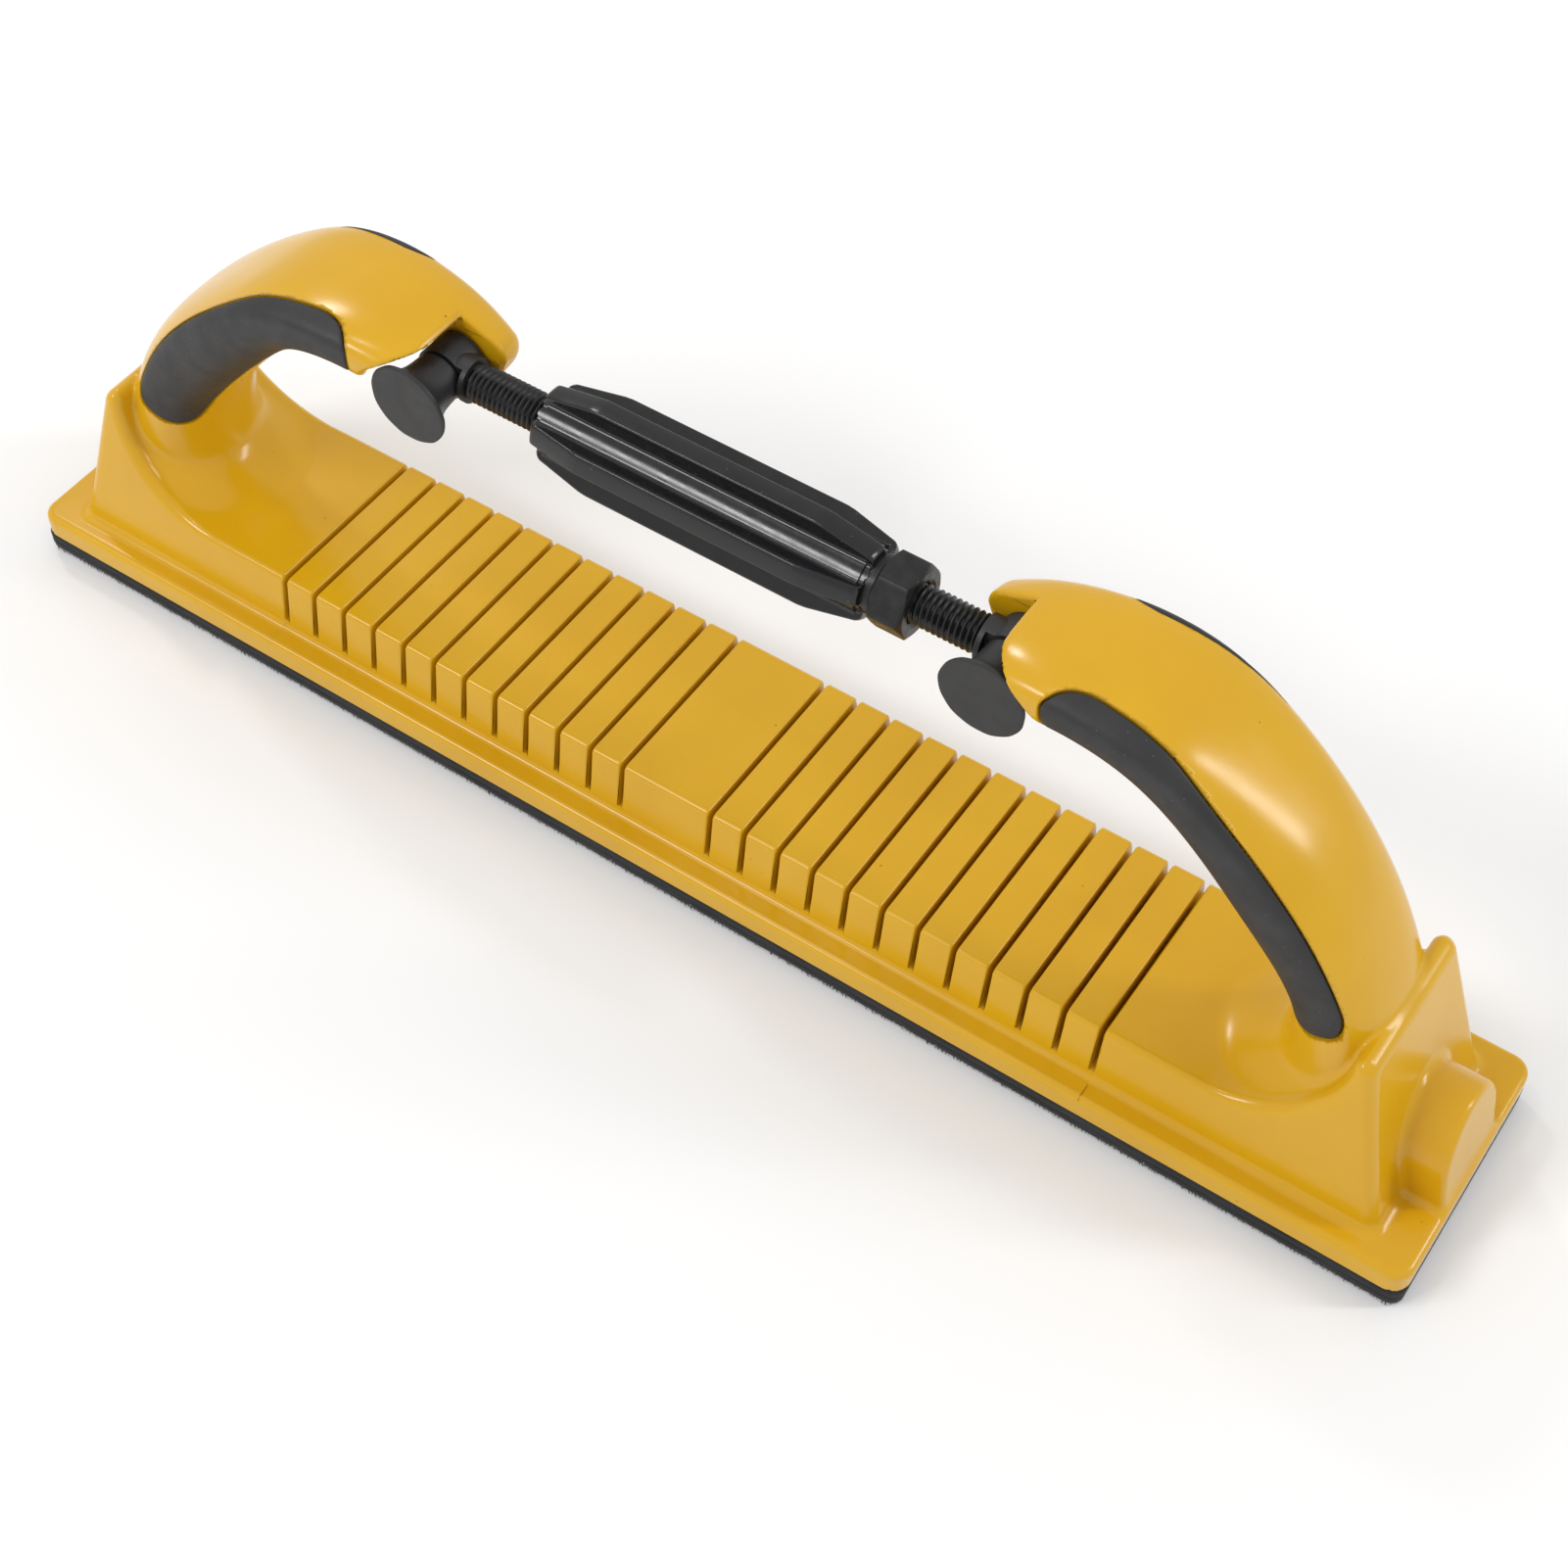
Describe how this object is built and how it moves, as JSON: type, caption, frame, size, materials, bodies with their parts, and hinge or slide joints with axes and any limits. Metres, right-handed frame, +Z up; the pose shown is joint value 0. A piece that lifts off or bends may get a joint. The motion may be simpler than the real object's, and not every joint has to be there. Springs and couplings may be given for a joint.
{
  "type": "adjustable hand sanding board",
  "caption": "Long slotted sanding board with a handle arm at each end and a turnbuckle tie rod between them that bows the flexible base.",
  "frame": {"origin": "centre of the hook face under the centre block", "axes": "+X along the board towards the end with the boss, +Y across the board away from the pull pins' heads, +Z up"},
  "size_m": [0.42, 0.07, 0.1259],
  "materials": {
    "yellow_plastic": "gloss moulded",
    "grip_rubber": "matte soft touch",
    "pad_foam": "closed-cell foam",
    "hook_fabric": "hook face",
    "screw_steel": "zinc",
    "black_gloss_plastic": "gloss",
    "blackened_steel": "black oxide, oiled",
    "black_matte_plastic": "matte"
  },
  "bodies": {
    "centre": {"base_centre_block": "yellow_plastic", "flex_ribs_left": "yellow_plastic", "flex_ribs_right": "yellow_plastic", "foam_pad_centre": "pad_foam", "foam_pad_flex_left": "pad_foam", "foam_pad_flex_right": "pad_foam", "hook_face_centre": "hook_fabric", "hook_face_flex_left": "hook_fabric", "hook_face_flex_right": "hook_fabric"},
    "turnbuckle": {"turnbuckle_grip": "black_gloss_plastic", "threaded_insert_left": "blackened_steel", "threaded_insert_right": "blackened_steel"},
    "lock_nut": {"lock_nut": "blackened_steel"},
    "end_left": {"base_end_left": "yellow_plastic", "handle_left": "yellow_plastic", "grip_near_left": "grip_rubber", "grip_far_left": "grip_rubber", "handle_screws_left": "screw_steel", "foam_pad_end_left": "pad_foam", "hook_face_end_left": "hook_fabric"},
    "rod_left": {"threaded_rod_left": "blackened_steel", "eye_left": "blackened_steel"},
    "pull_pin_left": {"pull_pin_left": "black_matte_plastic"},
    "end_right": {"base_end_right": "yellow_plastic", "handle_right": "yellow_plastic", "grip_near_right": "grip_rubber", "grip_far_right": "grip_rubber", "handle_screws_right": "screw_steel", "foam_pad_end_right": "pad_foam", "hook_face_end_right": "hook_fabric"},
    "rod_right": {"threaded_rod_right": "blackened_steel", "eye_right": "blackened_steel"},
    "pull_pin_right": {"pull_pin_right": "black_matte_plastic"}
  },
  "joints": [
    {"name": "turnbuckle_spin", "type": "hinge", "parent": "centre", "child": "turnbuckle", "pos_m": [0, 0, 0.1104], "axis": [1, 0, 0], "range_deg": [-1080, 1080]},
    {"name": "flex_left", "type": "hinge", "parent": "centre", "child": "end_left", "pos_m": [-0.0689, 0, 0.01015], "axis": [0, 1, 0], "range_deg": [-2.6, 2.6], "deforming": ["flex_ribs_left", "foam_pad_flex_left", "hook_face_flex_left"]},
    {"name": "flex_right", "type": "hinge", "parent": "centre", "child": "end_right", "pos_m": [0.0689, 0, 0.01015], "axis": [0, 1, 0], "range_deg": [-2.6, 2.6], "deforming": ["flex_ribs_right", "foam_pad_flex_right", "hook_face_flex_right"]},
    {"name": "rod_travel_left", "type": "slide", "parent": "centre", "child": "rod_left", "axis": [1, 0, 0], "range_m": [-0.0046, 0.0046]},
    {"name": "rod_travel_right", "type": "slide", "parent": "centre", "child": "rod_right", "axis": [1, 0, 0], "range_m": [-0.0046, 0.0046]},
    {"name": "lock_nut_back_off", "type": "slide", "parent": "centre", "child": "lock_nut", "axis": [1, 0, 0], "range_m": [0, 0.006]},
    {"name": "pull_pin_left_slide", "type": "slide", "parent": "end_left", "child": "pull_pin_left", "axis": [0, -1, 0], "range_m": [0, 0.02]},
    {"name": "pull_pin_right_slide", "type": "slide", "parent": "end_right", "child": "pull_pin_right", "axis": [0, -1, 0], "range_m": [0, 0.02]}
  ],
  "couplings": [
    {"joint": "flex_left", "follows": "turnbuckle_spin", "ratio": -0.0023826},
    {"joint": "flex_right", "follows": "turnbuckle_spin", "ratio": 0.0023826},
    {"joint": "rod_travel_left", "follows": "turnbuckle_spin", "m_per_rad": -0.00023873},
    {"joint": "rod_travel_right", "follows": "turnbuckle_spin", "m_per_rad": 0.00023873}
  ]
}
